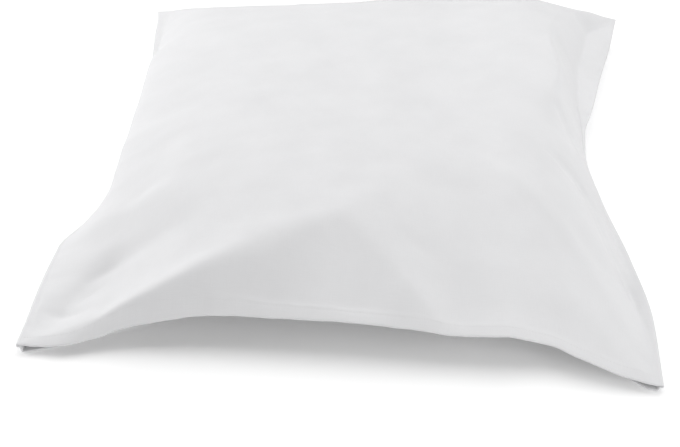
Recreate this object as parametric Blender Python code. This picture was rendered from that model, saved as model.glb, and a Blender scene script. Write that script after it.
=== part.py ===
"""A plain cotton pillowcase lying on its back panel, blown up as if a pillow had just been drawn out of it.

Two panels are sewn to each other down the left side, the right side and the far end. The near end, at -Y,
is the open mouth. Metres, +Z up. The origin is at the middle of the footprint, on the surface it lies on.
"""

from collections import namedtuple

import bpy
import numpy as np

# Driving sizes of the flat case.
CASE_WIDTH = 0.600
CASE_LENGTH = 0.700
SHEET = 0.0015
SEAM_GAP = 0.0003
SEAM_WIDTH = 0.007
HEM_DEPTH = 0.012
HEM_THICKENING = 0.0008

# Grid of each panel.
COLUMNS_ACROSS = 37
ROWS_ALONG = 46
EDGE_CROWDING = 0.55

# Where the four corners lie once the case is filled out: x, y and height.
Corner = namedtuple("Corner", "x y height")
NEAR_LEFT = Corner(-0.295, -0.341, 0.008)
NEAR_RIGHT = Corner(0.295, -0.344, 0.006)
FAR_LEFT = Corner(-0.294, 0.336, 0.022)
FAR_RIGHT = Corner(0.296, 0.349, 0.030)

# An edge runs from corner to corner. At each share of the way, it is drawn in by so much from the straight
# line between them, and lies at so great a height.
Edge = namedtuple("Edge", "along drawn_in height")
LEFT_SEAM = [
    Edge(0.00, 0.000, 0.008),
    Edge(0.06, 0.001, 0.012),
    Edge(0.12, 0.001, 0.015),
    Edge(0.22, 0.003, 0.016),
    Edge(0.28, 0.021, 0.020),
    Edge(0.36, 0.036, 0.023),
    Edge(0.54, 0.047, 0.024),
    Edge(0.72, 0.029, 0.028),
    Edge(0.88, 0.010, 0.028),
    Edge(1.00, 0.000, 0.022),
]
RIGHT_SEAM = [
    Edge(0.00, 0.000, 0.006),
    Edge(0.12, 0.003, 0.015),
    Edge(0.25, 0.019, 0.022),
    Edge(0.38, 0.042, 0.030),
    Edge(0.50, 0.061, 0.034),
    Edge(0.56, 0.057, 0.036),
    Edge(0.64, 0.042, 0.036),
    Edge(0.75, 0.030, 0.035),
    Edge(0.87, 0.014, 0.034),
    Edge(1.00, 0.000, 0.030),
]
FAR_SEAM = [
    Edge(0.00, 0.000, 0.022),
    Edge(0.12, 0.018, 0.036),
    Edge(0.26, 0.023, 0.042),
    Edge(0.38, 0.022, 0.047),
    Edge(0.51, 0.016, 0.052),
    Edge(0.64, 0.014, 0.056),
    Edge(0.80, 0.009, 0.058),
    Edge(0.90, 0.007, 0.046),
    Edge(1.00, 0.000, 0.030),
]
TOP_HEM = [
    Edge(0.00, 0.000, 0.008),
    Edge(0.012, 0.000, 0.008),
    Edge(0.07, 0.000, 0.0095),
    Edge(0.12, 0.003, 0.0125),
    Edge(0.17, 0.010, 0.0210),
    Edge(0.22, 0.018, 0.0260),
    Edge(0.28, 0.025, 0.0315),
    Edge(0.34, 0.027, 0.0345),
    Edge(0.50, 0.027, 0.0350),
    Edge(0.60, 0.025, 0.0325),
    Edge(0.68, 0.023, 0.0295),
    Edge(0.76, 0.024, 0.0315),
    Edge(0.82, 0.026, 0.0245),
    Edge(0.88, 0.014, 0.0180),
    Edge(0.94, 0.003, 0.0110),
    Edge(0.984, 0.000, 0.006),
    Edge(1.00, 0.000, 0.006),
]
BOTTOM_HEM = [
    Edge(0.00, 0.000, 0.008),
    Edge(0.012, 0.000, 0.008),
    Edge(0.04, 0.006, 0.001),
    Edge(0.07, 0.014, 0.001),
    Edge(0.15, 0.042, 0.001),
    Edge(0.26, 0.076, 0.001),
    Edge(0.50, 0.083, 0.001),
    Edge(0.74, 0.081, 0.001),
    Edge(0.86, 0.052, 0.001),
    Edge(0.93, 0.026, 0.001),
    Edge(0.955, 0.012, 0.001),
    Edge(0.984, 0.000, 0.006),
    Edge(1.00, 0.000, 0.006),
]

# How the top panel climbs from each seam. At each share of the way along it, the cloth first lies flat
# for flap, then has climbed CLIMB after reach. A power under 1 is a bulging side, 1 is a straight slope.
CLIMB = 0.070
Side = namedtuple("Side", "along flap reach power overhang")
LEFT_SIDE = [
    Side(0.00, 0.000, 0.420, 1.00, 0.000),
    Side(0.07, 0.002, 0.390, 1.00, 0.000),
    Side(0.13, 0.002, 0.275, 1.00, 0.000),
    Side(0.18, 0.000, 0.210, 0.93, 0.000),
    Side(0.24, 0.000, 0.145, 0.80, 0.001),
    Side(0.34, 0.000, 0.090, 0.62, 0.018),
    Side(0.55, 0.000, 0.080, 0.56, 0.024),
    Side(0.72, 0.002, 0.090, 0.60, 0.017),
    Side(0.86, 0.006, 0.130, 0.75, 0.006),
    Side(1.00, 0.010, 0.220, 1.00, 0.000),
]
RIGHT_SIDE = [
    Side(0.00, 0.004, 0.420, 1.00, 0.000),
    Side(0.12, 0.008, 0.240, 1.00, 0.000),
    Side(0.28, 0.006, 0.110, 0.80, 0.001),
    Side(0.38, 0.001, 0.078, 0.68, 0.012),
    Side(0.48, 0.000, 0.056, 0.66, 0.016),
    Side(0.54, 0.000, 0.044, 0.80, 0.012),
    Side(0.585, 0.008, 0.042, 0.92, 0.002),
    Side(0.63, 0.016, 0.050, 0.95, 0.000),
    Side(0.70, 0.020, 0.060, 0.95, 0.000),
    Side(0.78, 0.024, 0.062, 0.95, 0.000),
    Side(0.90, 0.027, 0.066, 0.95, 0.000),
    Side(0.96, 0.009, 0.085, 1.00, 0.000),
    Side(1.00, 0.004, 0.100, 1.00, 0.000),
]
# How sharply the right side meets the crown, by share of the way from mouth to far end.
Crease = namedtuple("Crease", "along sharpness")
RIGHT_CREASE = [
    Crease(0.00, 3.5),
    Crease(0.42, 3.5),
    Crease(0.50, 7.0),
    Crease(0.56, 14.0),
    Crease(1.00, 14.0),
]
# The front climbs from the hem, steeply at first. From a line that runs from the hem to the peak under the
# crown, it climbs gently on that line's right.
Slope = namedtuple("Slope", "across steep gentle sharpness")
FRONT = [
    Slope(0.00, 0.25, 0.25, 9.0),
    Slope(0.09, 0.44, 0.44, 9.0),
    Slope(0.13, 0.62, 0.62, 9.0),
    Slope(0.16, 0.83, 0.83, 9.0),
    Slope(0.19, 1.10, 1.10, 9.0),
    Slope(0.23, 1.34, 1.34, 9.0),
    Slope(0.28, 1.24, 1.24, 9.0),
    Slope(0.34, 0.97, 0.89, 10.0),
    Slope(0.40, 0.76, 0.62, 14.0),
    Slope(0.45, 0.60, 0.39, 26.0),
    Slope(0.50, 0.52, 0.31, 28.0),
    Slope(0.62, 0.54, 0.31, 10.0),
    Slope(0.75, 0.45, 0.27, 4.0),
    Slope(1.00, 0.25, 0.22, 4.0),
]
STEEP_ENDS_AT_HEM = 0.672
STEEP_TO_PEAK = 0.60
STEEP_SHARPNESS = 45.0
STEEP_END_ROUNDED = 0.02
FAR_REACH = 0.190
FAR_POWER = 0.85

# Height of the crown over the surface, by share of the way from mouth to far end.
Crown = namedtuple("Crown", "along height")
CROWN = [
    Crown(0.00, 0.096),
    Crown(0.25, 0.104),
    Crown(0.50, 0.110),
    Crown(0.75, 0.112),
    Crown(1.00, 0.108),
]

# The bottom panel falls from each seam to the surface.
FALL_SIDE_REACH = 0.050
FALL_FAR_REACH = 0.060
FALL_POWER = 0.60
TOUCH_BLEND = 0.004

# How sharply the sides, far end and crown meet, and how far from its seam a bulging side stands out the most.
FILLED_SHARPNESS = 3.5
OVERHANG_WIDEST = 0.022

# Folds raised or sunk in the top panel: each runs from start over bend to end and fades at both ends.
# Its profile falls off over one width to its left, as one looks from start to end, and the other to its right.
# Within crest of its middle line, it is rounded.
Fold = namedtuple("Fold", "start bend end height left_width right_width crest")
FOLDS = {
    "ridge to the near left corner": Fold(
        (-0.284, -0.341), (-0.150, -0.316), (-0.006, -0.214), 0.006, 0.020, 0.012, 0.010
    ),
    "ridge from the peak to the hem": Fold(
        (-0.020, -0.200), (0.045, -0.255), (0.110, -0.350), 0.003, 0.020, 0.030, 0.003
    ),
    "valley behind the near left corner": Fold(
        (-0.262, -0.342), (-0.274, -0.231), (-0.140, -0.239), -0.011, 0.009, 0.032, 0.007
    ),
    "ridge to the near right corner": Fold(
        (0.293, -0.345), (0.232, -0.180), (0.100, -0.105), 0.011, 0.008, 0.016, 0.004
    ),
    "valley down the crown": Fold(
        (0.100, 0.330), (0.095, 0.050), (0.090, -0.200), -0.006, 0.035, 0.035, 0.045
    ),
}
FOLD_STEPS = 24
RELIEF_FADE = 0.014


def curve_through(rows, key, column, at):
    """A smooth curve through the rows' values of one column, which never overshoots them."""
    xs = np.array([getattr(row, key) for row in rows])
    ys = np.array([getattr(row, column) for row in rows])
    widths = np.diff(xs)
    slopes = np.diff(ys) / widths
    before, after = slopes[:-1], slopes[1:]
    same_way = before * after > 0
    steepness = before * (2 * widths[1:] + widths[:-1]) + after * (widths[1:] + 2 * widths[:-1])
    steepness = np.where(same_way, steepness, 1.0)
    harmonic = 3 * (widths[:-1] + widths[1:]) * before * after / steepness
    tangents = np.concatenate([slopes[:1], np.where(same_way, harmonic, 0.0), slopes[-1:]])
    span = np.clip(np.searchsorted(xs, at, side="right") - 1, 0, len(widths) - 1)
    t = (at - xs[span]) / widths[span]
    start = (1 + 2 * t) * (1 - t) ** 2 * ys[span] + t * (1 - t) ** 2 * widths[span] * tangents[span]
    end = t**2 * (3 - 2 * t) * ys[span + 1] - t**2 * (1 - t) * widths[span] * tangents[span + 1]
    return start + end


def edge_line(start, end, rows, inward, at):
    """Points along an edge: the straight line between its corners, drawn in and lifted as its rows say."""
    drawn_in = curve_through(rows, "along", "drawn_in", at)
    return np.stack(
        [
            start.x + (end.x - start.x) * at + inward[0] * drawn_in,
            start.y + (end.y - start.y) * at + inward[1] * drawn_in,
            curve_through(rows, "along", "height", at),
        ],
        axis=-1,
    )


def stretched_between(near, far, left, right, across, along):
    """The smooth sheet that spans four edges (a Coons patch), as a grid of points, across by along."""
    u, v = across[:, None, None], along[None, :, None]
    corners = (1 - u) * ((1 - v) * near[0] + v * far[0]) + u * ((1 - v) * near[-1] + v * far[-1])
    between_ends = (1 - v) * near[:, None] + v * far[:, None]
    between_sides = (1 - u) * left[None] + u * right[None]
    return between_ends + between_sides - corners


def normals_of(grid):
    """Unit normals of a grid of points, on its upper side: at each point, the mean of the faces around it."""
    face = np.cross(grid[1:, 1:] - grid[:-1, :-1], grid[:-1, 1:] - grid[1:, :-1])
    face /= np.linalg.norm(face, axis=-1, keepdims=True)
    total = np.zeros_like(grid)
    columns, rows = face.shape[:2]
    for column in (0, 1):
        for row in (0, 1):
            total[column : column + columns, row : row + rows] += face
    return total / np.linalg.norm(total, axis=-1, keepdims=True)


def lowest_of(heights, sharpness):
    """The least of several heights, rounded where two of them meet: sharper for a larger number."""
    total = sum(np.maximum(height, 1e-6) ** -sharpness for height in heights)
    return total ** (-1 / sharpness)


def crowded(length, count, at_start, at_end):
    """Distances from 0 to length: those given at each end, and between them steps that grow to the middle."""
    t = np.linspace(0, 1, count)
    t = (1 - EDGE_CROWDING) * t + EDGE_CROWDING * (1 - np.cos(np.pi * t)) / 2
    first, last = at_start[-1], at_end[-1]
    middle = first + (length - last - first) * t
    return np.concatenate([at_start[:-1], middle, length - np.array(at_end[-2::-1])])


def grid_of_cloth():
    """The distances of a panel's grid from its left seam and from its hem, in the flat cloth."""
    seam = [0.0, SEAM_WIDTH / 2, SEAM_WIDTH]
    hem = [0.0, HEM_DEPTH / 2, HEM_DEPTH]
    across = crowded(CASE_WIDTH, COLUMNS_ACROSS, seam, seam)
    along = crowded(CASE_LENGTH, ROWS_ALONG, hem, seam)
    return across, along


def side_climb(rows, from_seam, v):
    """Height gained over the seam, at a distance from it in the flat cloth."""
    flap = SEAM_WIDTH + curve_through(rows, "along", "flap", v)
    reach = curve_through(rows, "along", "reach", v)
    power = curve_through(rows, "along", "power", v)
    return CLIMB * (np.maximum(from_seam - flap, 0) / reach) ** power


def overhang(rows, from_seam, v):
    """How far the bulging side stands out past its seam, at a distance from it in the flat cloth."""
    out = np.maximum(from_seam - SEAM_WIDTH, 0) / OVERHANG_WIDEST
    return curve_through(rows, "along", "overhang", v) * out * np.exp(1 - out)


def relief(folds, x, y):
    """Height that the raised folds add, and the valleys take away, at each place in plan."""
    height = np.zeros_like(x)
    for fold in folds.values():
        t = np.linspace(0, 1, FOLD_STEPS + 1)[:, None]
        start, bend, end = (np.array(point) for point in (fold.start, fold.bend, fold.end))
        route = (1 - t) ** 2 * start + 2 * t * (1 - t) * bend + t**2 * end
        nearest = np.full(x.shape, np.inf)
        share, side = np.zeros_like(x), np.zeros_like(x)
        for step, (a, b) in enumerate(zip(route, route[1:])):
            run = b - a
            along = np.clip(((x - a[0]) * run[0] + (y - a[1]) * run[1]) / (run @ run), 0, 1)
            off_x, off_y = x - a[0] - along * run[0], y - a[1] - along * run[1]
            distance = np.hypot(off_x, off_y)
            closer = distance < nearest
            nearest = np.where(closer, distance, nearest)
            share = np.where(closer, (step + along) / FOLD_STEPS, share)
            side = np.where(closer, run[0] * off_y - run[1] * off_x, side)
        width = np.where(side > 0, fold.left_width, fold.right_width)
        off = np.hypot(nearest, fold.crest) - fold.crest
        height += fold.height * np.sin(np.pi * share) * np.exp(-off / width)
    return height


def open_cloth(*from_seams):
    """0 in the sewn edges, where the panels lie flat on each other, rising to 1 in the open cloth."""
    share = np.ones_like(from_seams[0])
    for distance in from_seams:
        t = np.clip((distance - SEAM_WIDTH) / RELIEF_FADE, 0, 1)
        share = share * t**2 * (3 - 2 * t)
    return share


def thickness_along(along):
    """Thickness of the cloth at each distance from the hem's edge: more in the turned hem."""
    return SHEET + np.where(along <= HEM_DEPTH, HEM_THICKENING, 0.0)


def sewn_base(near, across, along):
    """The sheet that spans one panel's hem and the three seams, and half a cloth and half a gap to its top."""
    u, v = across / CASE_WIDTH, along / CASE_LENGTH
    base = stretched_between(
        edge_line(NEAR_LEFT, NEAR_RIGHT, near, (0, 1), u),
        edge_line(FAR_LEFT, FAR_RIGHT, FAR_SEAM, (0, -1), u),
        edge_line(NEAR_LEFT, FAR_LEFT, LEFT_SEAM, (1, 0), v),
        edge_line(NEAR_RIGHT, FAR_RIGHT, RIGHT_SEAM, (-1, 0), v),
        u,
        v,
    )
    to_middle = (thickness_along(along) + SEAM_GAP) / 2
    return base, normals_of(base) * to_middle[None, :, None]


def top_surface(across, along):
    """The middle of the top panel's cloth, as a grid of points."""
    base, off_seam = sewn_base(TOP_HEM, across, along)
    from_left, from_hem = np.meshgrid(across, along, indexing="ij")
    from_right, from_far = CASE_WIDTH - from_left, CASE_LENGTH - from_hem
    u, v = from_left / CASE_WIDTH, from_hem / CASE_LENGTH
    crown = curve_through(CROWN, "along", "height", v) - base[..., 2]
    steep = curve_through(FRONT, "across", "steep", u)
    gentle = curve_through(FRONT, "across", "gentle", u)
    short_of = STEEP_ENDS_AT_HEM - u
    steep_until = STEEP_TO_PEAK * (short_of + np.hypot(short_of, STEEP_END_ROUNDED)) / 2
    gentle_climb = steep * steep_until + gentle * np.maximum(from_hem - steep_until, 0)
    front = lowest_of([steep * from_hem, gentle_climb], STEEP_SHARPNESS)
    far = CLIMB * (np.maximum(from_far - SEAM_WIDTH, 0) / FAR_REACH) ** FAR_POWER
    left = side_climb(LEFT_SIDE, from_left, v)
    right = side_climb(RIGHT_SIDE, from_right, v)
    filled = lowest_of([crown, far, left], FILLED_SHARPNESS)
    filled = lowest_of([filled, right], curve_through(RIGHT_CREASE, "along", "sharpness", v))
    climb = lowest_of([filled, front], curve_through(FRONT, "across", "sharpness", u))
    surface = base + off_seam
    folded = relief(FOLDS, base[..., 0], base[..., 1]) * open_cloth(from_left, from_right, from_far)
    surface[..., 2] += climb + folded
    surface[..., 0] += overhang(RIGHT_SIDE, from_right, v) - overhang(LEFT_SIDE, from_left, v)
    return surface


def bottom_surface(across, along):
    """The middle of the bottom panel's cloth, as a grid of points."""
    base, off_seam = sewn_base(BOTTOM_HEM, across, along)
    from_left, from_hem = np.meshgrid(across, along, indexing="ij")
    from_right, from_far = CASE_WIDTH - from_left, CASE_LENGTH - from_hem
    surface = base - off_seam
    falls = [
        CLIMB * (np.maximum(distance - SEAM_WIDTH, 0) / reach) ** FALL_POWER
        for distance, reach in (
            (from_left, FALL_SIDE_REACH),
            (from_right, FALL_SIDE_REACH),
            (from_far, FALL_FAR_REACH),
        )
    ]
    fallen = surface[..., 2] - lowest_of(falls, FILLED_SHARPNESS)
    lying = thickness_along(from_hem) / 2
    above = fallen - lying
    blended = (above + TOUCH_BLEND) ** 2 / (4 * TOUCH_BLEND)
    touching = np.where(above > TOUCH_BLEND, above, np.where(above > -TOUCH_BLEND, blended, 0.0))
    surface[..., 2] = lying + touching
    return surface


def cotton(name, colour, roughness):
    """The cloth's material."""
    material = bpy.data.materials.new(name)
    material.use_nodes = True
    shader = material.node_tree.nodes["Principled BSDF"]
    shader.inputs["Base Color"].default_value = (*colour, 1)
    shader.inputs["Roughness"].default_value = roughness
    shader.inputs["Metallic"].default_value = 0.0
    material.diffuse_color = (*colour, 1)
    return material


def panel(name, surface, hem_rows, material):
    """A panel: its surface as a mesh, given the cloth's thickness, and more of it in the turned hem."""
    columns, rows = surface.shape[:2]
    index = np.arange(columns * rows).reshape(columns, rows)
    corners = (index[:-1, :-1], index[1:, :-1], index[1:, 1:], index[:-1, 1:])
    mesh = bpy.data.meshes.new(name)
    faces = np.stack(corners, -1).reshape(-1, 4)
    mesh.from_pydata(surface.reshape(-1, 3).tolist(), [], faces.tolist())
    mesh.materials.append(material)
    mesh.shade_smooth()
    piece = bpy.data.objects.new(name, mesh)
    bpy.context.scene.collection.objects.link(piece)
    hem = piece.vertex_groups.new(name="hem")
    hem.add(index[:, :hem_rows].ravel().tolist(), 1.0, "REPLACE")
    thicken = piece.modifiers.new("cloth", "SOLIDIFY")
    thicken.thickness = SHEET + HEM_THICKENING
    thicken.offset = 0
    thicken.vertex_group = hem.name
    thicken.thickness_vertex_group = SHEET / (SHEET + HEM_THICKENING)
    return piece


def middle_of_footprint(surfaces):
    """The middle, in plan, of the box that holds these surfaces."""
    points = np.concatenate([surface.reshape(-1, 3) for surface in surfaces])
    middle = (points.min(axis=0) + points.max(axis=0)) / 2
    return (middle[0], middle[1], 0.0)


def main():
    for old in list(bpy.data.objects):
        bpy.data.objects.remove(old, do_unlink=True)
    across, along = grid_of_cloth()
    top, bottom = top_surface(across, along), bottom_surface(across, along)
    origin = middle_of_footprint([top, bottom])
    hem_rows = int(np.count_nonzero(along <= HEM_DEPTH))
    white = cotton("white cotton", (0.80, 0.80, 0.81), 0.9)
    panel("top_panel", top - origin, hem_rows, white)
    panel("bottom_panel", bottom - origin, hem_rows, white)


main()
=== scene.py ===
"""The looks of a plain white cotton pillowcase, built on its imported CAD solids.

Each panel is a thin sheet on the folds of its solid, with a turned and stitched hem, rolled seams, finer
folds and puckers, and a plain weave. Metres, +Z up, in the frame of the CAD. The open mouth is at -Y.
"""

import math
from collections import namedtuple

import bpy
import numpy as np
from mathutils import Matrix, Vector


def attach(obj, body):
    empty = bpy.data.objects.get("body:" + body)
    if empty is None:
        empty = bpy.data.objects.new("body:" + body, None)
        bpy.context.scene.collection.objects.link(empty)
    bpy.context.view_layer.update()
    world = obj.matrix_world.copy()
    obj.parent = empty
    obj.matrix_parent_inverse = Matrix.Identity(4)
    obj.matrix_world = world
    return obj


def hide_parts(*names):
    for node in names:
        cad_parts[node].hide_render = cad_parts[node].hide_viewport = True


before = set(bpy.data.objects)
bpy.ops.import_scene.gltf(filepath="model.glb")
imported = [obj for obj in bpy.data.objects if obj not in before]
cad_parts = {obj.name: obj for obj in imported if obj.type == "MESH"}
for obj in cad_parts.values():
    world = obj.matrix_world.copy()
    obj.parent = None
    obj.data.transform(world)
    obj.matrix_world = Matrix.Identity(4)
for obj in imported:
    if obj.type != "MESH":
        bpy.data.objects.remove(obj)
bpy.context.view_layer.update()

# ---- The shape of the panels, by the same names as in the solids' source ----

CASE_WIDTH = 0.600
CASE_LENGTH = 0.700
# The strip along a seam where the panels lie flat on each other.
SEAM_WIDTH = 0.0035
# Where the middle of the footprint comes out, which is then moved to the origin.
FOOTPRINT_MIDDLE = (0.0006, 0.0024, 0.0)

# Where the corners of the filled case lie.
Corner = namedtuple("Corner", "x y height")
NEAR_LEFT = Corner(-0.295, -0.341, 0.008)
NEAR_RIGHT = Corner(0.295, -0.344, 0.006)
FAR_LEFT = Corner(-0.294, 0.336, 0.022)
FAR_RIGHT = Corner(0.296, 0.349, 0.030)

# An edge runs from corner to corner. At each share of the way, it is drawn in by so much from the straight
# line between them, and lies at so great a height.
Edge = namedtuple("Edge", "along drawn_in height")
LEFT_SEAM = [
    Edge(0.00, 0.000, 0.008),
    Edge(0.06, 0.001, 0.012),
    Edge(0.12, 0.001, 0.015),
    Edge(0.22, 0.003, 0.016),
    Edge(0.28, 0.021, 0.020),
    Edge(0.36, 0.036, 0.023),
    Edge(0.54, 0.047, 0.024),
    Edge(0.72, 0.029, 0.028),
    Edge(0.88, 0.013, 0.028),
    Edge(0.95, 0.007, 0.026),
    Edge(1.00, 0.000, 0.022),
]
RIGHT_SEAM = [
    Edge(0.00, 0.000, 0.006),
    Edge(0.12, 0.003, 0.015),
    Edge(0.25, 0.019, 0.022),
    Edge(0.38, 0.042, 0.030),
    Edge(0.50, 0.055, 0.034),
    Edge(0.56, 0.054, 0.036),
    Edge(0.64, 0.043, 0.036),
    Edge(0.75, 0.030, 0.035),
    Edge(0.87, 0.014, 0.034),
    Edge(1.00, 0.000, 0.030),
]
FAR_SEAM = [
    Edge(0.00, 0.000, 0.022),
    Edge(0.12, 0.018, 0.036),
    Edge(0.26, 0.023, 0.042),
    Edge(0.38, 0.022, 0.047),
    Edge(0.51, 0.016, 0.052),
    Edge(0.64, 0.014, 0.056),
    Edge(0.80, 0.009, 0.058),
    Edge(0.90, 0.007, 0.046),
    Edge(1.00, 0.000, 0.030),
]
TOP_HEM = [
    Edge(0.00, 0.000, 0.008),
    Edge(0.012, 0.000, 0.008),
    Edge(0.07, 0.000, 0.0095),
    Edge(0.12, 0.010, 0.0090),
    Edge(0.17, 0.018, 0.0165),
    Edge(0.22, 0.021, 0.0240),
    Edge(0.28, 0.025, 0.0315),
    Edge(0.34, 0.027, 0.0345),
    Edge(0.50, 0.027, 0.0350),
    Edge(0.60, 0.025, 0.0325),
    Edge(0.68, 0.023, 0.0295),
    Edge(0.76, 0.024, 0.0315),
    Edge(0.82, 0.026, 0.0245),
    Edge(0.88, 0.014, 0.0180),
    Edge(0.94, 0.003, 0.0110),
    Edge(0.984, 0.000, 0.006),
    Edge(1.00, 0.000, 0.006),
]
BOTTOM_HEM = [
    Edge(0.00, 0.000, 0.008),
    Edge(0.012, 0.000, 0.008),
    Edge(0.04, 0.006, 0.001),
    Edge(0.07, 0.014, 0.001),
    Edge(0.15, 0.042, 0.001),
    Edge(0.26, 0.076, 0.001),
    Edge(0.50, 0.083, 0.001),
    Edge(0.74, 0.081, 0.001),
    Edge(0.86, 0.052, 0.001),
    Edge(0.93, 0.026, 0.001),
    Edge(0.955, 0.012, 0.001),
    Edge(0.984, 0.000, 0.006),
    Edge(1.00, 0.000, 0.006),
]

# How the top panel climbs from each seam. At each share of the way along it, the cloth first lies flat for
# flap, then has climbed CLIMB after reach. A power under 1 is a bulging side, which stands out past its seam
# by up to overhang.
CLIMB = 0.070
Side = namedtuple("Side", "along flap reach power overhang")
LEFT_SIDE = [
    Side(0.00, 0.000, 0.360, 1.00, 0.000),
    Side(0.07, 0.002, 0.330, 1.00, 0.000),
    Side(0.13, 0.002, 0.262, 1.00, 0.000),
    Side(0.18, 0.000, 0.210, 0.93, 0.000),
    Side(0.24, 0.000, 0.150, 0.82, 0.000),
    Side(0.32, 0.000, 0.112, 0.70, 0.004),
    Side(0.38, 0.000, 0.096, 0.63, 0.012),
    Side(0.44, 0.000, 0.086, 0.59, 0.018),
    Side(0.55, 0.000, 0.080, 0.56, 0.024),
    Side(0.72, 0.002, 0.090, 0.60, 0.013),
    Side(0.76, 0.003, 0.099, 0.63, 0.006),
    Side(0.80, 0.004, 0.108, 0.67, 0.000),
    Side(0.86, 0.006, 0.130, 0.75, 0.000),
    Side(1.00, 0.010, 0.220, 1.00, 0.000),
]
RIGHT_SIDE = [
    Side(0.00, 0.004, 0.420, 1.00, 0.000),
    Side(0.12, 0.008, 0.240, 1.00, 0.000),
    Side(0.28, 0.006, 0.110, 0.80, 0.001),
    Side(0.38, 0.001, 0.078, 0.72, 0.004),
    Side(0.48, 0.000, 0.056, 0.72, 0.004),
    Side(0.54, 0.001, 0.044, 0.84, 0.002),
    Side(0.585, 0.004, 0.037, 0.90, 0.000),
    Side(0.63, 0.017, 0.036, 0.95, 0.000),
    Side(0.70, 0.025, 0.047, 0.95, 0.000),
    Side(0.78, 0.030, 0.050, 0.95, 0.000),
    Side(0.90, 0.031, 0.056, 0.95, 0.000),
    Side(0.96, 0.009, 0.085, 1.00, 0.000),
    Side(1.00, 0.004, 0.100, 1.00, 0.000),
]
# How sharply the right side meets the crown, by share of the way from mouth to far end.
Crease = namedtuple("Crease", "along sharpness")
RIGHT_CREASE = [
    Crease(0.00, 3.5),
    Crease(0.42, 3.5),
    Crease(0.50, 7.0),
    Crease(0.56, 18.0),
    Crease(1.00, 22.0),
]
# The front climbs from the hem: steeply up to a line that runs from the hem to the peak under the crown, and
# gently beyond that line. It meets the crown the more sharply, the larger its sharpness.
Slope = namedtuple("Slope", "across steep gentle sharpness")
FRONT = [
    Slope(0.00, 0.25, 0.25, 9.0),
    Slope(0.09, 0.62, 0.62, 9.0),
    Slope(0.13, 1.14, 1.14, 9.0),
    Slope(0.16, 1.42, 1.42, 9.0),
    Slope(0.19, 1.52, 1.52, 9.0),
    Slope(0.23, 1.50, 1.50, 9.0),
    Slope(0.28, 1.30, 1.30, 9.0),
    Slope(0.34, 0.97, 0.89, 10.0),
    Slope(0.40, 0.76, 0.62, 14.0),
    Slope(0.45, 0.60, 0.39, 26.0),
    Slope(0.50, 0.50, 0.31, 38.0),
    Slope(0.55, 0.475, 0.31, 32.0),
    Slope(0.62, 0.54, 0.31, 10.0),
    Slope(0.75, 0.45, 0.27, 4.5),
    Slope(0.84, 0.37, 0.26, 9.0),
    Slope(1.00, 0.25, 0.22, 9.0),
]
# Where that line leaves the hem, by share of the way across, how far it gets from the hem for each share of
# the way back to the left, how sharp the ridge along it is, and over what share its start is rounded.
STEEP_ENDS_AT_HEM = 0.672
STEEP_TO_PEAK = 0.60
STEEP_SHARPNESS = 45.0
STEEP_END_ROUNDED = 0.02

# How the far end climbs, and the height of the crown, by share of the way from mouth to far end.
FAR_REACH = 0.190
FAR_POWER = 0.85
Crown = namedtuple("Crown", "along height")
CROWN = [
    Crown(0.00, 0.096),
    Crown(0.25, 0.104),
    Crown(0.50, 0.110),
    Crown(0.75, 0.112),
    Crown(1.00, 0.108),
]

# The bottom panel falls from each seam to the floor, and meets it over TOUCH_BLEND.
FALL_SIDE_REACH = 0.050
FALL_FAR_REACH = 0.060
FALL_POWER = 0.60
TOUCH_BLEND = 0.004

# How sharply the sides, far end and crown meet, and how far from its seam a side stands out the most.
FILLED_SHARPNESS = 3.5
OVERHANG_WIDEST = 0.022
# The least height that a power is taken of.
LEAST_HEIGHT = 1e-6

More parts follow.
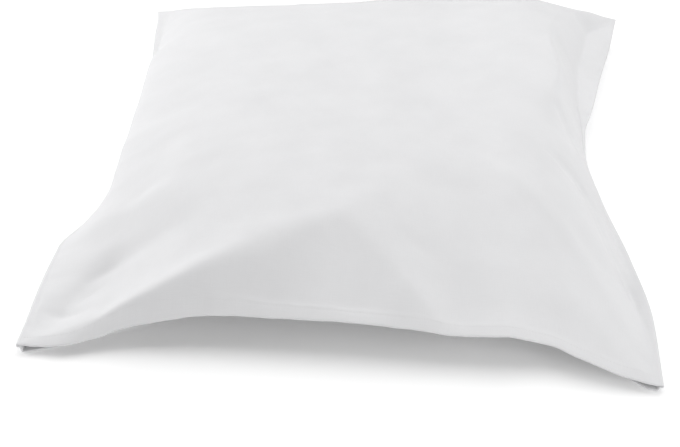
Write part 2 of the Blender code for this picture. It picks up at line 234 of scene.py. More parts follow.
# Folds raised or sunk in the top panel: each runs from start over bend to end and fades at both ends.
# Looking from start to end, it falls off over one width to its left and over the other to its right. It is
# rounded within crest of its middle line.
Fold = namedtuple("Fold", "start bend end height left_width right_width crest")
FOLDS = {
    "ridge to the near left corner": Fold(
        (-0.284, -0.341), (-0.150, -0.312), (-0.006, -0.214), 0.0085, 0.020, 0.012, 0.010
    ),
    "ridge from the peak to the hem": Fold(
        (-0.020, -0.200), (0.045, -0.255), (0.110, -0.350), 0.003, 0.020, 0.030, 0.003
    ),
    "valley behind the near left corner": Fold(
        (-0.266, -0.366), (-0.280, -0.226), (-0.134, -0.222), -0.0088, 0.011, 0.034, 0.012
    ),
    "ridge to the near right corner": Fold(
        (0.293, -0.345), (0.232, -0.180), (0.100, -0.105), 0.007, 0.018, 0.016, 0.004
    ),
    "valley beside the near right seam": Fold(
        (0.294, -0.310), (0.270, -0.190), (0.210, -0.090), -0.0065, 0.004, 0.005, 0.0015
    ),
    "upper crease beside the right seam": Fold(
        (0.196, 0.006), (0.214, -0.028), (0.238, -0.074), -0.0060, 0.004, 0.005, 0.0015
    ),
    "lower crease beside the right seam": Fold(
        (0.186, -0.082), (0.214, -0.110), (0.254, -0.138), -0.0052, 0.004, 0.005, 0.0015
    ),
    "ridge beside the far right flap": Fold(
        (0.262, 0.350), (0.240, 0.200), (0.236, 0.060), 0.0022, 0.012, 0.006, 0.004
    ),
    "end of the valley behind the near left corner": Fold(
        (-0.288, -0.292), (-0.262, -0.300), (-0.226, -0.300), -0.0050, 0.008, 0.009, 0.003
    ),
    "first wrinkle behind the near left corner": Fold(
        (-0.252, -0.262), (-0.238, -0.247), (-0.214, -0.240), -0.0011, 0.003, 0.005, 0.002
    ),
    "second wrinkle behind the near left corner": Fold(
        (-0.256, -0.292), (-0.243, -0.276), (-0.226, -0.262), -0.0012, 0.004, 0.006, 0.002
    ),
    "dent beside the peak": Fold(
        (0.040, -0.222), (0.072, -0.243), (0.106, -0.262), -0.0020, 0.010, 0.012, 0.006
    ),
    "first lump in the near right corner": Fold(
        (0.262, -0.322), (0.276, -0.334), (0.290, -0.342), 0.0016, 0.005, 0.005, 0.002
    ),
    "second lump in the near right corner": Fold(
        (0.272, -0.306), (0.284, -0.318), (0.292, -0.332), -0.0014, 0.004, 0.004, 0.002
    ),
    "valley down the crown": Fold(
        (0.100, 0.330), (0.095, 0.050), (0.090, -0.200), -0.006, 0.035, 0.035, 0.045
    ),
}
FOLD_STEPS = 24
RELIEF_FADE = 0.012

# Faint unevenness of the open cloth, as waves. A direction is in degrees, from across the case to along it.
Wave = namedtuple("Wave", "length direction height phase")
UNEVENNESS = [
    Wave(0.083, 20, 0.00034, 0.4),
    Wave(0.061, 75, 0.00026, 2.1),
    Wave(0.047, 140, 0.00018, 4.0),
    Wave(0.036, 100, 0.00012, 1.3),
    Wave(0.029, 35, 0.00008, 5.2),
]
# Small gathers that the sewing pulls into the cloth, deepest at PUCKER_DEEPEST from the seam. Their spacing
# drifts to and fro along it, by up to so many radians of the first wave.
PUCKERS = [
    Wave(0.0165, 0, 0.00012, 0.6),
    Wave(0.0275, 0, 0.00016, 3.1),
]
PUCKER_DEEPEST = 0.009
PUCKER_DRIFT = 1.6
PUCKER_DRIFT_LENGTH = 0.115
# How far along the pattern of gathers the right seam and the far seam start.
RIGHT_PUCKERS_FROM = 0.4
FAR_PUCKERS_FROM = 0.9
# Ripples along the hem, which die out over HEM_RIPPLE_REACH.
HEM_RIPPLES = [
    Wave(0.0230, 0, 0.00016, 1.9),
    Wave(0.0410, 0, 0.00022, 0.3),
]
HEM_RIPPLE_REACH = 0.020

# ---- The cloth, its hem and its stitches ----

# The thickness of the cloth.
CLOTH = 0.0005
# The hem's stitch line, from the hem's edge.
HEM_STITCH_AT = 0.0098
# The height of the bottom panel's middle where it lies on the floor, on its stitches.
LYING_AT = 0.00060

# Half the distance between the panels, by distance from the edge that they are sewn at: a roll beside the
# edge, and then a shallow groove.
Roll = namedtuple("Roll", "inward lift")
SEAM_ROLL = [
    Roll(0.0000, 0.00030),
    Roll(0.0008, 0.00085),
    Roll(0.0018, 0.00105),
    Roll(0.0052, 0.00080),
    Roll(0.0070, 0.00070),
    Roll(0.0095, 0.00090),
    Roll(0.7000, 0.00090),
]
# How much further out the hem's outer layer lies, by distance from the hem's edge.
HEM_ROLL = [
    Roll(0.0000, 0.00110),
    Roll(0.0040, 0.00120),
    Roll(0.0080, 0.00110),
    Roll(0.0098, 0.00080),
    Roll(0.0112, 0.00080),
    Roll(0.0140, 0.00020),
    Roll(0.0170, 0.00000),
    Roll(0.7000, 0.00000),
]
# Where the hem's edge and stitch line stand out, by share of the way from left to right.
Shown = namedtuple("Shown", "across share")
HEM_SHOWN = [
    Shown(0.00, 0.30),
    Shown(0.26, 0.30),
    Shown(0.32, 1.00),
    Shown(0.54, 1.00),
    Shown(0.62, 0.30),
    Shown(1.00, 0.30),
]
# How much further out the outer layer lies where the hem is pressed flat.
PRESSED_HEM = [
    Roll(0.0000, 0.00110),
    Roll(0.0080, 0.00110),
    Roll(0.0140, 0.00075),
    Roll(0.0240, 0.00025),
    Roll(0.0340, 0.00000),
    Roll(0.7000, 0.00000),
]
# How far the hem's turned layer lies off the middle of the seam: at a side seam, and in the open hem.
LIFT_AT_SEAM = 0.0003
TURNED_LIFT = 0.00045
# The hem closes towards a side seam over this distance, to this share of its roll.
HEM_CLOSES_OVER = 0.0020
HEM_AT_SIDE = 0.44

# Stitches in the hem: from one end of a stitch to the other, its thickness and its height over the cloth.
STITCH_PITCH = 0.0030
STITCH_LENGTH = 0.0023
STITCH_RADIUS = 0.00021
STITCH_SIDES = 6
Station = namedtuple("Station", "along thickness rise")
STITCH_STATIONS = [
    Station(-0.50, 0.30, -0.00025),
    Station(-0.36, 0.85, -0.00005),
    Station(0.00, 1.00, 0.00006),
    Station(0.36, 0.85, -0.00005),
    Station(0.50, 0.30, -0.00025),
]

# The first rows of each grid, from a seam and from the hem's edge, and the even steps across and along
# between them.
SEAM_ROWS = [0.0, 0.0008, 0.0018, 0.0028, 0.0038, 0.0046, 0.0052, 0.0058, 0.0066, 0.0078, 0.0095]
HEM_ROWS = [
    0.0, 0.0012, 0.0028, 0.0048, 0.0068, 0.0083, 0.0092,
    0.0098, 0.0104, 0.0112, 0.0122, 0.0133, 0.0145, 0.0162,
]
TOP_COUNTS = (168, 196)
BOTTOM_COUNTS = (120, 140)
# The rows that the hem's turned layer has too, and those round the fold at its edge, by share of the turn.
TURNED_ROWS = [0.0012, 0.0028, 0.0048, 0.0068, 0.0083, 0.0098, 0.0112]
CAP_TURNS = (0.17, 0.34, 0.5, 0.66, 0.83)
# The flat length of the fold between two of its rows.
CAP_STEP = 0.0004

# ---- The looks of the cloth and the thread ----

# The weave's pitch in metres of flat cloth, and the grains of its noise to the metre across and along.
YARN_PITCH = 0.00042
WARP_GRAIN = (1900.0, 70.0)
WEFT_GRAIN = (70.0, 1900.0)
WEAR_GRAIN = (18.0, 18.0)
# Where most of a noise lies.
NOISE_LOW, NOISE_HIGH = 0.3, 0.7

# A colour and a roughness go from one value to the other with the noise. A bump has a strength and a depth.
COTTON_SHADED = (0.782, 0.782, 0.792)
COTTON_CLEAN = (0.812, 0.812, 0.822)
COTTON_ROUGHNESS = (0.86, 0.94)
COTTON_SPECULAR = 0.25
COTTON_SHEEN = 0.12
COTTON_SHEEN_ROUGHNESS = 0.5
COTTON_BUMP = (0.35, 0.00016)
WEAVE_IN_BUMP = 0.35
YARNS_IN_BUMP = 0.8
YARNS_IN_COLOUR = (-0.5, 0.5)

THREAD_SHADED = (0.74, 0.74, 0.75)
THREAD_CLEAN = (0.82, 0.82, 0.83)
THREAD_ROUGHNESS = (0.60, 0.72)
THREAD_SPECULAR = 0.35
THREAD_BUMP = (0.4, 0.00008)
THREAD_TWIST = 1100.0
THREAD_TWIST_UNEVEN = 0.6
THREAD_GRAIN = 260.0


def eased(share):
    """The share, kept from 0 to 1, with a level start and end."""
    share = np.clip(share, 0, 1)
    return share**2 * (3 - 2 * share)


def curve_through(rows, key, column, at):
    """A smooth curve through the rows' values of one column, which never overshoots them."""
    xs = np.array([getattr(row, key) for row in rows])
    ys = np.array([getattr(row, column) for row in rows])
    widths = np.diff(xs)
    slopes = np.diff(ys) / widths
    before, after = slopes[:-1], slopes[1:]
    same_way = before * after > 0
    steepness = before * (2 * widths[1:] + widths[:-1]) + after * (widths[1:] + 2 * widths[:-1])
    steepness = np.where(same_way, steepness, 1.0)
    harmonic = 3 * (widths[:-1] + widths[1:]) * before * after / steepness
    tangents = np.concatenate([slopes[:1], np.where(same_way, harmonic, 0.0), slopes[-1:]])
    span = np.clip(np.searchsorted(xs, at, side="right") - 1, 0, len(widths) - 1)
    t = (at - xs[span]) / widths[span]
    start = (1 + 2 * t) * (1 - t) ** 2 * ys[span] + t * (1 - t) ** 2 * widths[span] * tangents[span]
    end = t**2 * (3 - 2 * t) * ys[span + 1] - t**2 * (1 - t) * widths[span] * tangents[span + 1]
    return start + end


def edge_line(start, end, rows, inward, at):
    """Points along an edge: the straight line between its corners, drawn in and lifted as its rows say."""
    drawn_in = curve_through(rows, "along", "drawn_in", at)
    return np.stack(
        [
            start.x + (end.x - start.x) * at + inward[0] * drawn_in,
            start.y + (end.y - start.y) * at + inward[1] * drawn_in,
            curve_through(rows, "along", "height", at),
        ],
        axis=-1,
    )


def stretched_between(near, far, left, right, across, along):
    """The smooth sheet that spans four edges (a Coons patch), as a grid of points, across by along."""
    u, v = across[:, None, None], along[None, :, None]
    corners = (1 - u) * ((1 - v) * near[0] + v * far[0]) + u * ((1 - v) * near[-1] + v * far[-1])
    between_ends = (1 - v) * near[:, None] + v * far[:, None]
    between_sides = (1 - u) * left[None] + u * right[None]
    return between_ends + between_sides - corners


def normals_of(grid):
    """Unit normals of a grid of points, on its upper side: the mean of the faces around each point."""
    face = np.cross(grid[1:, 1:] - grid[:-1, :-1], grid[:-1, 1:] - grid[1:, :-1])
    face /= np.linalg.norm(face, axis=-1, keepdims=True)
    total = np.zeros_like(grid)
    columns, rows = face.shape[:2]
    for column in (0, 1):
        for row in (0, 1):
            total[column : column + columns, row : row + rows] += face
    return total / np.linalg.norm(total, axis=-1, keepdims=True)


def lowest_of(heights, sharpness):
    """The least of several heights, rounded where two of them meet: sharper for a larger number."""
    total = sum(np.maximum(height, LEAST_HEIGHT) ** -sharpness for height in heights)
    return total ** (-1 / sharpness)


def side_climb(rows, from_seam, v):
    """Height gained over the seam, at a distance from it in the flat cloth."""
    flap = SEAM_WIDTH + curve_through(rows, "along", "flap", v)
    reach = curve_through(rows, "along", "reach", v)
    power = curve_through(rows, "along", "power", v)
    return CLIMB * (np.maximum(from_seam - flap, 0) / reach) ** power


def overhang(rows, from_seam, v):
    """How far the bulging side stands out past its seam, at a distance from it in the flat cloth."""
    out = np.maximum(from_seam - SEAM_WIDTH, 0) / OVERHANG_WIDEST
    return curve_through(rows, "along", "overhang", v) * out * np.exp(1 - out)


def relief(folds, x, y):
    """Height that the raised folds add, and the valleys take away, at each place in plan."""
    height = np.zeros_like(x)
    for fold in folds.values():
        t = np.linspace(0, 1, FOLD_STEPS + 1)[:, None]
        start, bend, end = (np.array(point) for point in (fold.start, fold.bend, fold.end))
        route = (1 - t) ** 2 * start + 2 * t * (1 - t) * bend + t**2 * end
        nearest = np.full(x.shape, np.inf)
        share, side = np.zeros_like(x), np.zeros_like(x)
        for step, (a, b) in enumerate(zip(route, route[1:])):
            run = b - a
            along = np.clip(((x - a[0]) * run[0] + (y - a[1]) * run[1]) / (run @ run), 0, 1)
            off_x, off_y = x - a[0] - along * run[0], y - a[1] - along * run[1]
            distance = np.hypot(off_x, off_y)
            closer = distance < nearest
            nearest = np.where(closer, distance, nearest)
            share = np.where(closer, (step + along) / FOLD_STEPS, share)
            side = np.where(closer, run[0] * off_y - run[1] * off_x, side)
        width = np.where(side > 0, fold.left_width, fold.right_width)
        off = np.hypot(nearest, fold.crest) - fold.crest
        height += fold.height * np.sin(np.pi * share) * np.exp(-off / width)
    return height


def open_cloth(*from_seams):
    """0 in the sewn edges, where the panels lie flat on each other, rising to 1 in the open cloth."""
    share = np.ones_like(from_seams[0])
    for distance in from_seams:
        share = share * eased((distance - SEAM_WIDTH) / RELIEF_FADE)
    return share


def sum_of_waves(waves, x, y):
    """The height of several waves together, at each place."""
    height = np.zeros_like(x)
    for wave in waves:
        heading = math.radians(wave.direction)
        run = x * math.cos(heading) + y * math.sin(heading)
        height += wave.height * np.sin(2 * np.pi * run / wave.length + wave.phase)
    return height


def puckers(from_seam, along_seam):
    """Gathers beside a seam, unevenly spaced along it."""
    drift = PUCKER_DRIFT * np.sin(2 * np.pi * along_seam / PUCKER_DRIFT_LENGTH)
    gathers = sum_of_waves(PUCKERS, along_seam + drift * PUCKERS[0].length / (2 * np.pi), along_seam)
    out = from_seam / PUCKER_DEEPEST
    return gathers * out * np.exp(1 - out)


def small_relief(from_left, from_right, from_far, from_hem):
    """The unevenness, puckers and hem ripples of a panel, in the flat cloth."""
    uneven = sum_of_waves(UNEVENNESS, from_left, from_hem)
    uneven = uneven * open_cloth(from_left, from_right, from_far, from_hem)
    pulled = puckers(from_left, from_hem) + puckers(from_right, from_hem + RIGHT_PUCKERS_FROM)
    pulled = pulled + puckers(from_far, from_left + FAR_PUCKERS_FROM)
    settled = open_cloth(from_left, from_right)
    rippled = sum_of_waves(HEM_RIPPLES, from_left, from_hem) * np.exp(-from_hem / HEM_RIPPLE_REACH)
    return uneven + pulled + rippled * settled


def stepped(length, count, at_start, at_end):
    """Distances from 0 to length: those given at each end, and even steps between them."""
    middle = np.linspace(at_start[-1], length - at_end[-1], count)
    return np.concatenate([at_start[:-1], middle, length - np.array(at_end[-2::-1])])


def base_of(near, across, along):
    """The sheet that spans a panel's hem and the three seams, where it is half way between the panels."""
    u, v = across / CASE_WIDTH, along / CASE_LENGTH
    return stretched_between(
        edge_line(NEAR_LEFT, NEAR_RIGHT, near, (0, 1), u),
        edge_line(FAR_LEFT, FAR_RIGHT, FAR_SEAM, (0, -1), u),
        edge_line(NEAR_LEFT, FAR_LEFT, LEFT_SEAM, (1, 0), v),
        edge_line(NEAR_RIGHT, FAR_RIGHT, RIGHT_SEAM, (-1, 0), v),
        u,
        v,
    )


def lift_of(from_seam, from_left, from_hem):
    """How far the outer layer of a panel lies off the middle of the seam."""
    hem_share = HEM_AT_SIDE + (1 - HEM_AT_SIDE) * eased(from_seam / HEM_CLOSES_OVER)
    seam = curve_through(SEAM_ROLL, "inward", "lift", from_seam)
    shown = curve_through(HEM_SHOWN, "across", "share", from_left / CASE_WIDTH)
    hem = shown * curve_through(HEM_ROLL, "inward", "lift", from_hem)
    hem = hem + (1 - shown) * curve_through(PRESSED_HEM, "inward", "lift", from_hem)
    return seam + hem_share * hem


def turned_lift(from_seam):
    """How far the turned layer of the hem lies off the middle of the seam."""
    closing = np.clip(from_seam / HEM_CLOSES_OVER, 0, 1)
    return LIFT_AT_SEAM + (TURNED_LIFT - LIFT_AT_SEAM) * closing


def distances(across, along):
    """How far each point of the grid is from the left seam, the right seam, the far seam and the hem."""
    from_left, from_hem = np.meshgrid(across, along, indexing="ij")
    return from_left, CASE_WIDTH - from_left, CASE_LENGTH - from_hem, from_hem


def top_surface(across, along):
    """The middle of the top panel's outer layer, as a grid of points."""
    base = base_of(TOP_HEM, across, along)
    from_left, from_right, from_far, from_hem = distances(across, along)
    u, v = from_left / CASE_WIDTH, from_hem / CASE_LENGTH
    from_seam = np.minimum(np.minimum(from_left, from_right), from_far)
    crown = curve_through(CROWN, "along", "height", v) - base[..., 2]
    steep = curve_through(FRONT, "across", "steep", u)
    gentle = curve_through(FRONT, "across", "gentle", u)
    short_of = STEEP_ENDS_AT_HEM - u
    steep_until = STEEP_TO_PEAK * (short_of + np.hypot(short_of, STEEP_END_ROUNDED)) / 2
    gentle_climb = steep * steep_until + gentle * np.maximum(from_hem - steep_until, 0)
    front = lowest_of([steep * from_hem, gentle_climb], STEEP_SHARPNESS)
    far = CLIMB * (np.maximum(from_far - SEAM_WIDTH, 0) / FAR_REACH) ** FAR_POWER
    left = side_climb(LEFT_SIDE, from_left, v)
    right = side_climb(RIGHT_SIDE, from_right, v)
    filled = lowest_of([crown, far, left], FILLED_SHARPNESS)
    filled = lowest_of([filled, right], curve_through(RIGHT_CREASE, "along", "sharpness", v))
    climb = lowest_of([filled, front], curve_through(FRONT, "across", "sharpness", u))
    surface = base + normals_of(base) * lift_of(from_seam, from_left, from_hem)[..., None]
    folded = relief(FOLDS, base[..., 0], base[..., 1]) * open_cloth(from_left, from_right, from_far)
    surface[..., 2] += climb + folded + small_relief(from_left, from_right, from_far, from_hem)
    surface[..., 0] += overhang(RIGHT_SIDE, from_right, v) - overhang(LEFT_SIDE, from_left, v)
    return surface


def bottom_surface(across, along):
    """The middle of the bottom panel's outer layer, as a grid of points."""
    base = base_of(BOTTOM_HEM, across, along)
    from_left, from_right, from_far, from_hem = distances(across, along)
    from_seam = np.minimum(np.minimum(from_left, from_right), from_far)
    surface = base - normals_of(base) * lift_of(from_seam, from_left, from_hem)[..., None]
    falls = [
        CLIMB * (np.maximum(distance - SEAM_WIDTH, 0) / reach) ** FALL_POWER
        for distance, reach in (
            (from_left, FALL_SIDE_REACH),
            (from_right, FALL_SIDE_REACH),
            (from_far, FALL_FAR_REACH),
        )
    ]
    fallen = surface[..., 2] - lowest_of(falls, FILLED_SHARPNESS)
    above = fallen - LYING_AT
    blended = (above + TOUCH_BLEND) ** 2 / (4 * TOUCH_BLEND)
    touching = np.where(above > TOUCH_BLEND, above, np.where(above > -TOUCH_BLEND, blended, 0.0))
    surface[..., 2] = LYING_AT + touching
    return surface


def turned_under(surface, across, along, inward):
    """Where the hem's turned layer lies, for each point of the outer layer. inward is -1 for a panel whose
    inside is below it, and 1 for one whose inside is above it."""
    from_left, from_right, _, from_hem = distances(across, along)
    from_side = np.minimum(from_left, from_right)
    apart = lift_of(from_side, from_left, from_hem) - turned_lift(from_side)
    return surface + inward * normals_of(surface) * apart[..., None]


def with_turned_hem(surface, under, along):
    """The outer layer with its hem turned: round the fold at the edge, and back under the outer layer."""
    rows = [int(np.argmin(abs(along - at))) for at in TURNED_ROWS]
    turned = under[:, rows]
    edge, into = surface[:, 0], surface[:, 1] - surface[:, 0]
    into /= np.linalg.norm(into, axis=-1, keepdims=True)
    half_way = (under[:, :1] - surface[:, :1]) / 2
    radius = np.linalg.norm(half_way, axis=-1, keepdims=True)
    turn = np.pi * np.array(CAP_TURNS)[None, :, None]
    cap = edge[:, None] + into[:, None] * radius * (1 - np.sin(turn))
    cap = cap + half_way * (1 - np.cos(turn))
    flat_turned = [-along[row] for row in rows[::-1]]
    flat_cap = [CAP_STEP - CAP_STEP * step for step in range(len(CAP_TURNS))]
    grid = np.concatenate([turned[:, ::-1], cap[:, ::-1], surface[:, 1:]], axis=1)
    flat = np.concatenate([flat_turned, flat_cap[::-1], along[1:]])
    return grid, flat


def in_scene(name, data):
    """A new object in the scene, which holds this mesh, lamp or camera."""
    holder = bpy.data.objects.new(name, data)
    bpy.context.scene.collection.objects.link(holder)
    return holder


def stitches(name, surface, across, along, outward, material):
    """A row of stitches across a hem, as small capsules. They are half sunk into one face of the layer whose
    middle is the surface: its upper face for an outward of 1, and its lower face for -1."""
    row = int(np.argmin(abs(along - HEM_STITCH_AT)))
    line, up = surface[:, row], outward * normals_of(surface)[:, row]
    count = int((CASE_WIDTH - 2 * SEAM_WIDTH) / STITCH_PITCH)
    at = (np.arange(count) - (count - 1) / 2) * STITCH_PITCH + CASE_WIDTH / 2
    middle = np.stack([np.interp(at, across, line[:, axis]) for axis in range(3)], -1)
    up = np.stack([np.interp(at, across, up[:, axis]) for axis in range(3)], -1)
    up /= np.linalg.norm(up, axis=-1, keepdims=True)
    run = np.gradient(middle, axis=0)
    run /= np.linalg.norm(run, axis=-1, keepdims=True)
    side = np.cross(up, run)
    turn = 2 * np.pi * np.arange(STITCH_SIDES) / STITCH_SIDES
    rings = []
    for station in STITCH_STATIONS:
        radius = STITCH_RADIUS * station.thickness
        centre = middle + run * station.along * STITCH_LENGTH + up * (CLOTH / 2 + station.rise)
        ring = centre[:, None] + radius * (
            side[:, None] * np.cos(turn)[None, :, None] + up[:, None] * np.sin(turn)[None, :, None]
        )
        rings.append(ring)
    points = np.stack(rings, 1)
    index = np.arange(points[..., 0].size).reshape(points.shape[:3])
    turned = np.roll(index, -1, axis=2)
    walls = np.stack([index[:, :-1], turned[:, :-1], turned[:, 1:], index[:, 1:]], -1)
    faces = walls.reshape(-1, 4).tolist() + index[:, 0, ::-1].tolist() + index[:, -1].tolist()
    mesh = bpy.data.meshes.new(name)
    mesh.from_pydata(points.reshape(-1, 3).tolist(), [], faces)
    mesh.materials.append(material)
    mesh.shade_smooth()
    piece = in_scene(name, mesh)
    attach(piece, "root")
    return piece


def node_of(tree, kind, **inputs):
    """A shader node of this kind, with its inputs set by name: a value is set, a socket is linked."""
    node = tree.nodes.new(kind)
    for name, value in inputs.items():
        socket = node.inputs[name.replace("_", " ")]
        if isinstance(value, bpy.types.NodeSocket):
            tree.links.new(value, socket)
        else:
            socket.default_value = value
    return node


def calculated(tree, operation, *values):
    """The result of a Math node: each value is a number or a socket."""
    node = tree.nodes.new("ShaderNodeMath")
    node.operation = operation
    for socket, value in zip(node.inputs, values):
        if isinstance(value, bpy.types.NodeSocket):
            tree.links.new(value, socket)
        else:
            socket.default_value = value
    return node.outputs[0]


def noise_over(tree, place, stretch, detail):
    """Noise from 0 to 1 over the cloth, with this many grains to the metre across it and along it."""
    scaled = node_of(tree, "ShaderNodeMapping", Vector=place, Scale=(*stretch, 1.0))
    noise = node_of(tree, "ShaderNodeTexNoise", Vector=scaled.outputs[0], Scale=1.0, Detail=detail)
    return noise.outputs[0]


def between(tree, share, low, high):
    """A value that goes from low to high as a noise does."""
    ranged = node_of(tree, "ShaderNodeMapRange", Value=share, To_Min=low, To_Max=high)
    ranged.inputs["From Min"].default_value = NOISE_LOW
    ranged.inputs["From Max"].default_value = NOISE_HIGH
    return ranged.outputs[0]


def colour_between(tree, share, first, second):
    """A colour that goes from the first to the second as the share goes from 0 to 1."""
    mixed = node_of(tree, "ShaderNodeMix")
    mixed.data_type = "RGBA"
    tree.links.new(share, mixed.inputs["Factor"])
    ends = [socket for socket in mixed.inputs if socket.type == "RGBA"]
    for end, colour in zip(ends, (first, second)):
        end.default_value = (*colour, 1)
    return [socket for socket in mixed.outputs if socket.type == "RGBA"][0]


def bump_of(tree, height, strength, depth):
    """The normal of a surface with this height over it."""
    return node_of(tree, "ShaderNodeBump", Height=height, Strength=strength, Distance=depth).outputs[0]


def new_material(name, **constants):
    """A material, its node tree and its shader, with the shader's constants set by name."""
    material = bpy.data.materials.new(name)
    material.use_nodes = True
    shader = material.node_tree.nodes["Principled BSDF"]
    for socket, value in constants.items():
        shader.inputs[socket.replace("_", " ")].default_value = value
    return material, material.node_tree, shader


def cotton_material():
    """White cotton: a plain weave with uneven yarns, and a little colour variation."""
    material, tree, shader = new_material(
        "white cotton",
        Specular_IOR_Level=COTTON_SPECULAR,
        Sheen_Weight=COTTON_SHEEN,
        Sheen_Roughness=COTTON_SHEEN_ROUGHNESS,
    )
    cloth = tree.nodes.new("ShaderNodeUVMap")
    cloth.uv_map = "cloth"
    place = cloth.outputs[0]
    apart = node_of(tree, "ShaderNodeSeparateXYZ", Vector=place)
    turns = math.pi / YARN_PITCH
    over_warp = calculated(tree, "SINE", calculated(tree, "MULTIPLY", apart.outputs[0], turns))
    over_weft = calculated(tree, "SINE", calculated(tree, "MULTIPLY", apart.outputs[1], turns))
    weave = calculated(tree, "MULTIPLY", over_warp, over_weft)
    warp = noise_over(tree, place, WARP_GRAIN, 2.0)
    weft = noise_over(tree, place, WEFT_GRAIN, 2.0)
    yarns = calculated(tree, "ADD", warp, weft)
    worn = noise_over(tree, place, WEAR_GRAIN, 3.0)
    yarn_height = calculated(tree, "MULTIPLY", yarns, YARNS_IN_BUMP)
    height = calculated(tree, "MULTIPLY_ADD", weave, WEAVE_IN_BUMP, yarn_height)
    tree.links.new(bump_of(tree, height, *COTTON_BUMP), shader.inputs["Normal"])
    mean_yarn = calculated(tree, "MULTIPLY", yarns, 0.5)
    yarn_tone = between(tree, mean_yarn, *YARNS_IN_COLOUR)
    tone = calculated(tree, "ADD", yarn_tone, between(tree, worn, 0.0, 1.0))
    colour = colour_between(tree, tone, COTTON_SHADED, COTTON_CLEAN)
    tree.links.new(colour, shader.inputs["Base Color"])
    tree.links.new(between(tree, worn, *COTTON_ROUGHNESS), shader.inputs["Roughness"])
    return material


def thread_material():
    """White sewing thread: a little smoother than the cloth, with its twist."""
    material, tree, shader = new_material("white thread", Specular_IOR_Level=THREAD_SPECULAR)
    place = tree.nodes.new("ShaderNodeTexCoord").outputs["Object"]
    twist = node_of(
        tree, "ShaderNodeTexWave", Vector=place, Scale=THREAD_TWIST, Distortion=THREAD_TWIST_UNEVEN
    )
    tree.links.new(bump_of(tree, twist.outputs[1], *THREAD_BUMP), shader.inputs["Normal"])
    worn = node_of(tree, "ShaderNodeTexNoise", Vector=place, Scale=THREAD_GRAIN, Detail=2.0).outputs[0]
    tree.links.new(between(tree, worn, *THREAD_ROUGHNESS), shader.inputs["Roughness"])
    colour = colour_between(tree, worn, THREAD_SHADED, THREAD_CLEAN)
    tree.links.new(colour, shader.inputs["Base Color"])
    return material


def sheet_mesh(name, grid, across, along, material):
    """A grid of points as a smooth mesh, with a UV map in metres of flat cloth."""
    columns, rows = grid.shape[:2]
    index = np.arange(columns * rows).reshape(columns, rows)
    corners = (index[:-1, :-1], index[1:, :-1], index[1:, 1:], index[:-1, 1:])
    faces = np.stack(corners, -1).reshape(-1, 4)
    mesh = bpy.data.meshes.new(name)
    mesh.from_pydata(grid.reshape(-1, 3).tolist(), [], faces.tolist())
    flat = np.stack(np.meshgrid(across, along, indexing="ij"), -1).reshape(-1, 2)
    uv = mesh.uv_layers.new(name="cloth")
    uv.data.foreach_set("uv", flat[faces.ravel()].ravel())
    mesh.materials.append(material)
    mesh.shade_smooth()
    piece = in_scene(name, mesh)
    thicken = piece.modifiers.new("cloth", "SOLIDIFY")
    thicken.thickness = CLOTH
    thicken.offset = 0
    return piece


def panel(name, node, make_surface, counts, inward, material, thread):
    """One panel of the case as a sheet that stands for its CAD node, and the stitches of its hem."""
    across = stepped(CASE_WIDTH, counts[0], SEAM_ROWS, SEAM_ROWS)
    along = stepped(CASE_LENGTH, counts[1], HEM_ROWS, SEAM_ROWS)
    surface = make_surface(across, along) - np.array(FOOTPRINT_MIDDLE)
    under = turned_under(surface, across, along, inward)
    grid, flat = with_turned_hem(surface, under, along)
    piece = sheet_mesh(name, grid, across, flat, material)
    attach(piece, "root")
    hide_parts(node)
    outside = stitches(name + "_stitches", surface, across, along, -inward, thread)
    inside = stitches(name + "_inner_stitches", under, across, along, inward, thread)
    return piece, [outside, inside]


# ---- Floor, light and camera ----

# Directions are in degrees: an azimuth of 0 is at -Y, in front of the mouth, and 90 is at +X.
CAMERA_AT = Vector((0.0959, -1.3583, 0.8484))
CAMERA_AZIMUTH = 5.15
CAMERA_ELEVATION = 33.96
CAMERA_LENS = 76.76
SENSOR = 36.0

Lamp = namedtuple("Lamp", "azimuth elevation watts size")
LAMPS = {
    "from above and behind": Lamp(180, 70, 37, 2.8),
    "from the left": Lamp(270, 20, 28, 1.6),
    "from the front right": Lamp(45, 20, 18, 1.6),
    "from behind the right": Lamp(135, 45, 10, 1.6),
}
LAMP_DISTANCE = 2.4
LAMPS_AIM = Vector((0, 0, 0.05))
WORLD_STRENGTH = 0.25
FLOOR_HALF_SIDE = 6.0
FLOOR_AT = -0.0002
FLOOR_WHITE = (0.95, 0.95, 0.95, 1)
FLOOR_GLOW = 0.16


def direction(azimuth, elevation):
    """The unit vector from the piece towards this azimuth and elevation."""
    azimuth, elevation = math.radians(azimuth), math.radians(elevation)
    return Vector(
        (
            math.sin(azimuth) * math.cos(elevation),
            -math.cos(azimuth) * math.cos(elevation),
            math.sin(elevation),
        )
    )


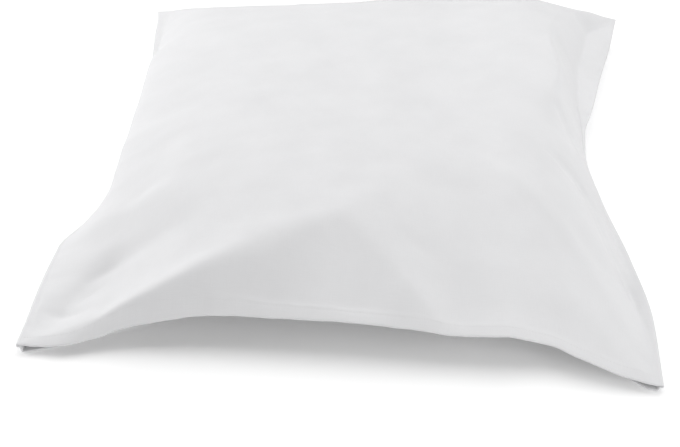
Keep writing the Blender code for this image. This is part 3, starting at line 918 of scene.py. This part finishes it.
def make_camera():
    """The camera at the photograph's place, with the photograph's field of view."""
    camera = bpy.data.cameras.new("camera")
    camera.lens = CAMERA_LENS
    camera.sensor_width = SENSOR
    holder = in_scene("camera", camera)
    back = direction(CAMERA_AZIMUTH, CAMERA_ELEVATION)
    right = direction(CAMERA_AZIMUTH + 90, 0)
    turned = Matrix((right, back.cross(right), back)).transposed().to_4x4()
    holder.matrix_world = Matrix.Translation(CAMERA_AT) @ turned
    bpy.context.scene.camera = holder


def make_lights():
    """Square soft boxes around the piece, and a pale surround."""
    for name, lamp in LAMPS.items():
        light = bpy.data.lights.new(name, "AREA")
        light.energy = lamp.watts
        light.size = lamp.size
        holder = in_scene(name, light)
        towards = direction(lamp.azimuth, lamp.elevation)
        holder.location = LAMPS_AIM + towards * LAMP_DISTANCE
        holder.rotation_euler = towards.to_track_quat("Z", "Y").to_euler()
    world = bpy.data.worlds.new("surround")
    world.use_nodes = True
    background = world.node_tree.nodes["Background"]
    background.inputs["Color"].default_value = (1, 1, 1, 1)
    background.inputs["Strength"].default_value = WORLD_STRENGTH
    bpy.context.scene.world = world


def make_floor():
    """A plain pale floor."""
    mesh = bpy.data.meshes.new("floor")
    side = FLOOR_HALF_SIDE
    corners = [(-side, -side, 0), (side, -side, 0), (side, side, 0), (-side, side, 0)]
    mesh.from_pydata(corners, [], [(0, 1, 2, 3)])
    floor = in_scene("floor", mesh)
    floor.location.z = FLOOR_AT
    material, _, _ = new_material(
        "pale floor",
        Base_Color=FLOOR_WHITE,
        Roughness=1.0,
        Specular_IOR_Level=0.0,
        Emission_Color=(1, 1, 1, 1),
        Emission_Strength=FLOOR_GLOW,
    )
    mesh.materials.append(material)


bpy.context.scene.view_settings.view_transform = "Standard"
make_camera()
make_lights()
make_floor()
cotton = cotton_material()
thread = thread_material()
top_sheet, top_stitches = panel(
    "top_sheet", "top_panel", top_surface, TOP_COUNTS, -1, cotton, thread
)
bottom_sheet, bottom_stitches = panel(
    "bottom_sheet", "bottom_panel", bottom_surface, BOTTOM_COUNTS, 1, cotton, thread
)
